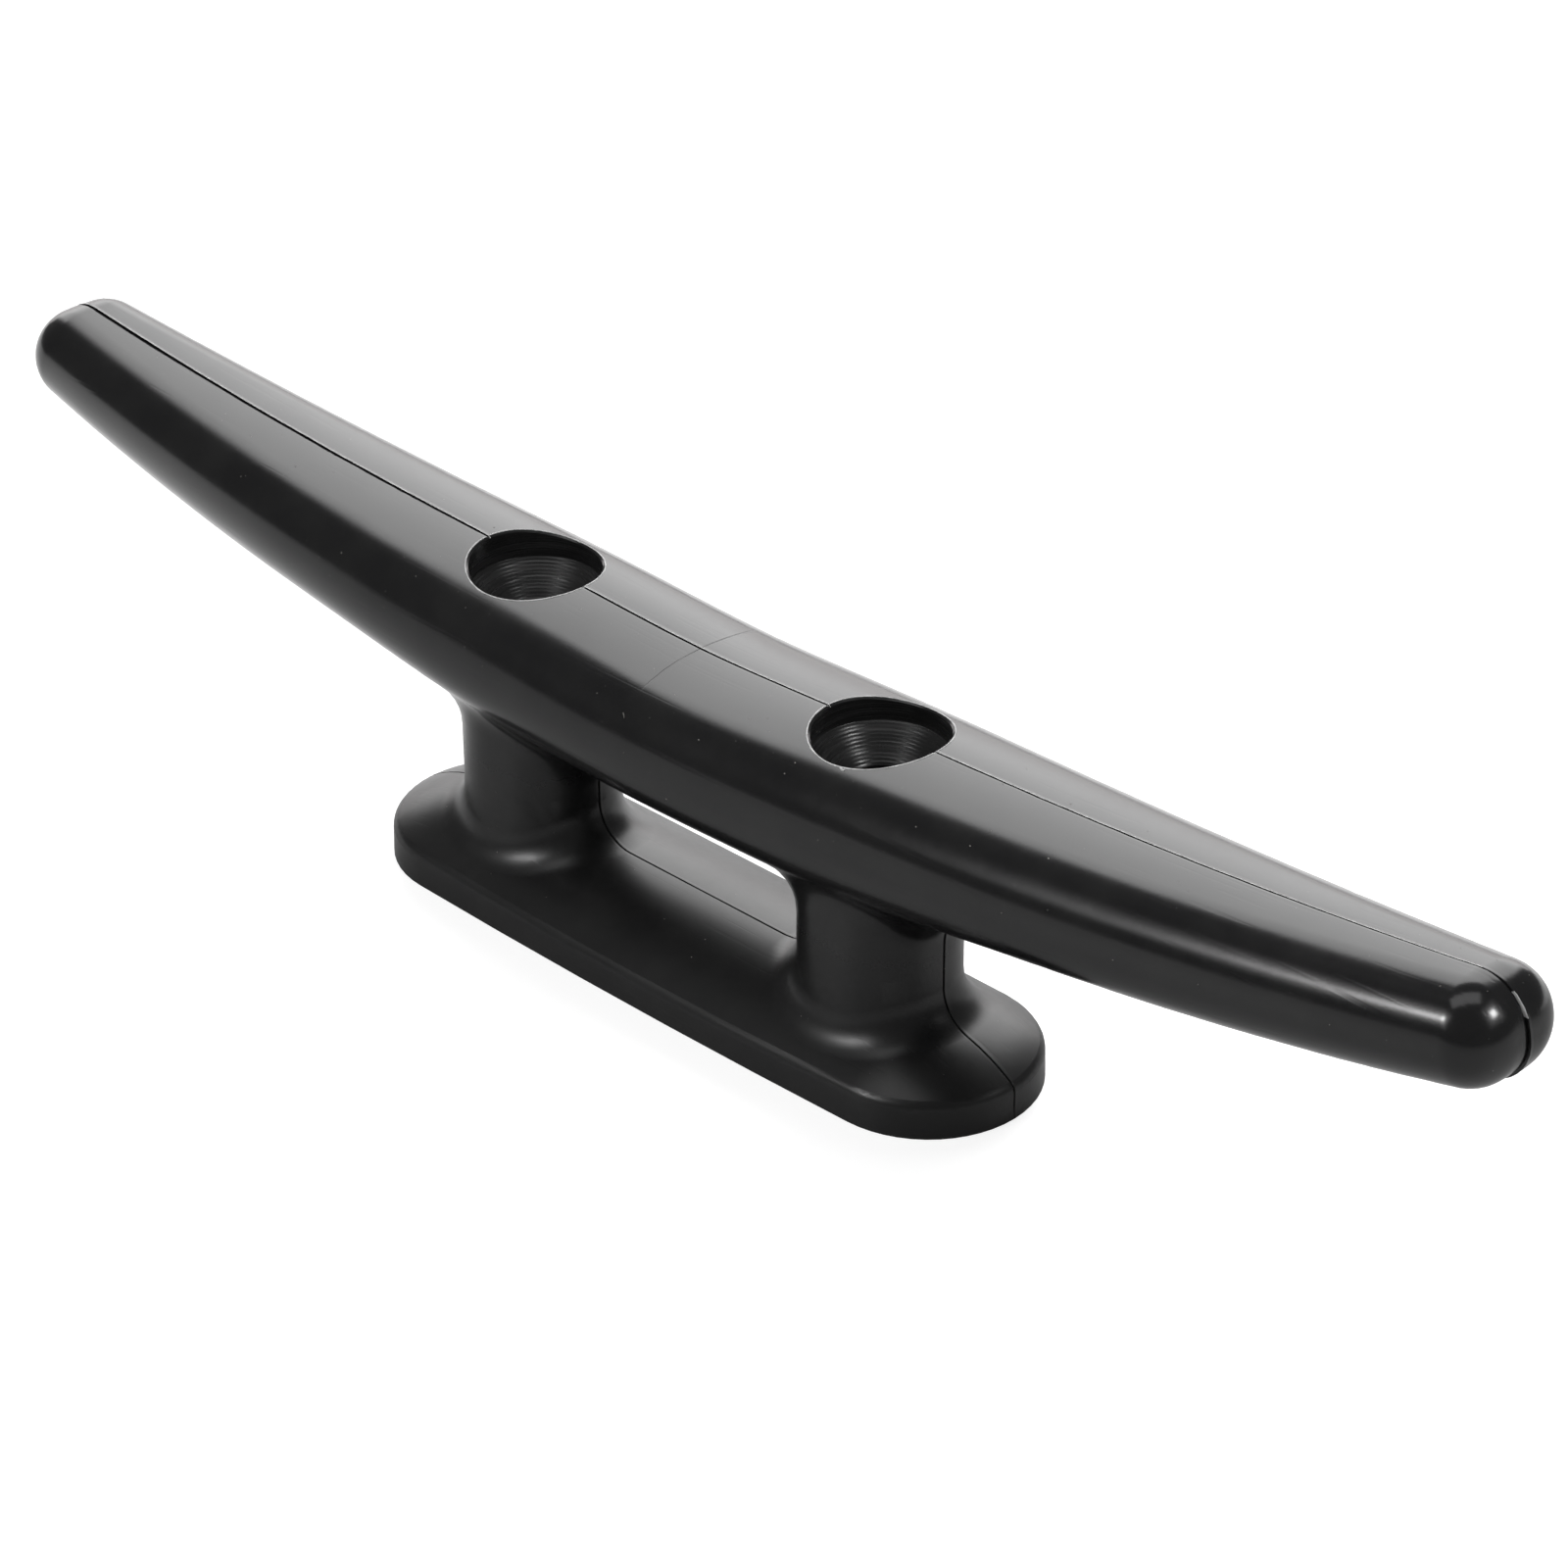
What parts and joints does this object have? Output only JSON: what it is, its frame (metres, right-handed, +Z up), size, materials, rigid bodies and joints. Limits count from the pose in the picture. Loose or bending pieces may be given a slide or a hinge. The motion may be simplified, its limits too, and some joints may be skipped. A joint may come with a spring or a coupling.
{
  "type": "mooring cleat",
  "caption": "One-piece black moulded mooring cleat: two tapering horns that rise to round tips, oval posts and a low crowned base with countersunk screw holes.",
  "frame": {"origin": "centre of the flat underside of the base, midway between the two screw holes", "axes": "+X along the horns, +Y across the base, +Z up from the deck"},
  "size_m": [0.2498, 0.0302, 0.0517],
  "materials": {
    "nylon": "satin black moulded nylon with a fine parting line"
  },
  "bodies": {
    "root": {"cleat": "nylon"}
  },
  "joints": []
}
